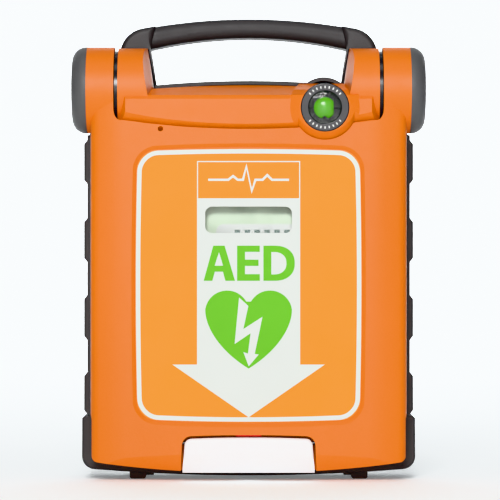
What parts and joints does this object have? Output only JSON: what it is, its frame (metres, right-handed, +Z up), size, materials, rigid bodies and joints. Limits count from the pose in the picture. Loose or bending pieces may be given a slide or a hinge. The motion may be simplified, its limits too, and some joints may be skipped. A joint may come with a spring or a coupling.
{
  "type": "automated external defibrillator",
  "caption": "Portable automated defibrillator case with a top-hinged front lid, carry handle, status window, pads pouch, controls and rear battery pack.",
  "frame": {"origin": "on the floor plane under the middle of the case, halfway through its depth", "axes": "+X to the right seen from the front, -Y out through the lid, +Z up towards the handle"},
  "size_m": [0.2292, 0.092, 0.3003],
  "materials": {
    "shell_orange": "fine matte grain",
    "case_grey": "fine matte grain",
    "cap_grey": "satin",
    "bumper_rubber": "matt",
    "grip_rubber": "soft touch",
    "ring_black": "satin",
    "gasket": "matt",
    "deck_grey": "fine matte grain",
    "liner_grey": "matt",
    "panel_grey": "satin",
    "panel_white": "satin",
    "clear": "clear plastic",
    "display": "reflective display",
    "status_green": "gloss",
    "button_orange": "translucent gloss",
    "button_blue": "satin",
    "paddle_white": "satin",
    "keeper_red": "satin",
    "label": "printed film, satin",
    "pouch": "foil laminate",
    "battery_case": "fine matte grain",
    "cell_wrap": "shrink wrap",
    "board": "solder mask",
    "capacitor": "satin",
    "core": "ferrite",
    "copper": "enamelled wire",
    "contact": "plated",
    "bush": "acetal",
    "steel": "plated"
  },
  "bodies": {
    "base": {"rear_shell": "case_grey", "front_deck": "deck_grey", "deck_gasket": "gasket", "hinge_bridge": "shell_orange", "hinge_pins": "steel", "hinge_rings": "ring_black", "indicator_ring": "ring_black", "indicator_lens": "clear", "indicator_cup": "ring_black", "indicator_coil": "copper", "carry_handle": "case_grey", "handle_grip": "grip_rubber", "side_bumper_right": "bumper_rubber", "side_bumper_left": "bumper_rubber", "bottom_bumper": "bumper_rubber", "rubber_feet": "bumper_rubber", "control_panel": "panel_grey", "display_window": "clear", "display_module": "display", "shock_bezel": "panel_white", "shock_spring": "steel", "key_switches": "ring_black", "speaker_grille": "ring_black", "speaker": "ring_black", "pads_socket": "panel_white", "pads_package": "pouch", "main_board": "board", "board_screws": "steel", "hv_capacitor": "capacitor", "capacitor_clamp": "steel", "charging_transformer": "core", "discharge_relay": "ring_black", "reed_switch": "ring_black", "bay_contacts": "contact", "battery_latch_spring": "steel", "case_screws": "steel", "lid_catch": "ring_black", "usb_socket": "steel"},
    "lid": {"lid_shell": "shell_orange", "lid_liner": "liner_grey", "lid_screws": "steel", "lid_label": "label", "lid_window": "clear", "lid_magnet": "steel", "hinge_bushes": "bush", "hinge_cap_right": "cap_grey", "hinge_cap_left": "cap_grey", "latch_pin": "steel", "latch_spring": "steel", "latch_keeper": "keeper_red"},
    "latch": {"latch_paddle": "paddle_white"},
    "indicator": {"indicator_disc": "status_green", "indicator_axle": "ring_black"},
    "shock_button": {"shock_button": "button_orange"},
    "language_button": {"language_button": "button_blue"},
    "battery": {"battery_case": "battery_case", "battery_cells": "cell_wrap"},
    "battery_latch": {"battery_latch": "battery_case"},
    "usb_cover": {"usb_cover": "bumper_rubber"}
  },
  "joints": [
    {"name": "lid_hinge", "type": "hinge", "parent": "base", "child": "lid", "pos_m": [0, -0.014, 0.253], "axis": [-1, 0, 0], "range_deg": [0, 115]},
    {"name": "latch_hinge", "type": "hinge", "parent": "lid", "child": "latch", "pos_m": [0, -0.038, 0.025], "axis": [-1, 0, 0], "range_deg": [0, 20], "stiffness_Nm_per_rad": 0.05, "springref_deg": -11.46},
    {"name": "indicator_flip", "type": "hinge", "parent": "base", "child": "indicator", "pos_m": [0.049, -0.0365, 0.2406], "axis": [1, 0, 0], "range_deg": [0, 180]},
    {"name": "shock_press", "type": "slide", "parent": "base", "child": "shock_button", "axis": [0, 1, 0], "range_m": [0, 0.0015], "stiffness_N_per_m": 800, "springref_m": -0.002},
    {"name": "language_press", "type": "slide", "parent": "base", "child": "language_button", "axis": [0, 1, 0], "range_m": [0, 0.001], "stiffness_N_per_m": 400, "springref_m": -0.001},
    {"name": "battery_slide", "type": "slide", "parent": "base", "child": "battery", "axis": [0, 1, 0], "range_m": [0, 0.04]},
    {"name": "battery_latch_slide", "type": "slide", "parent": "base", "child": "battery_latch", "axis": [0, 0, 1], "range_m": [0, 0.003], "stiffness_N_per_m": 300, "springref_m": -0.002, "deforming": ["battery_latch_spring"]},
    {"name": "usb_cover_hinge", "type": "hinge", "parent": "base", "child": "usb_cover", "pos_m": [-0.1051, 0.0234, 0.1305], "axis": [0, 0, -1], "range_deg": [0, 110]}
  ]
}
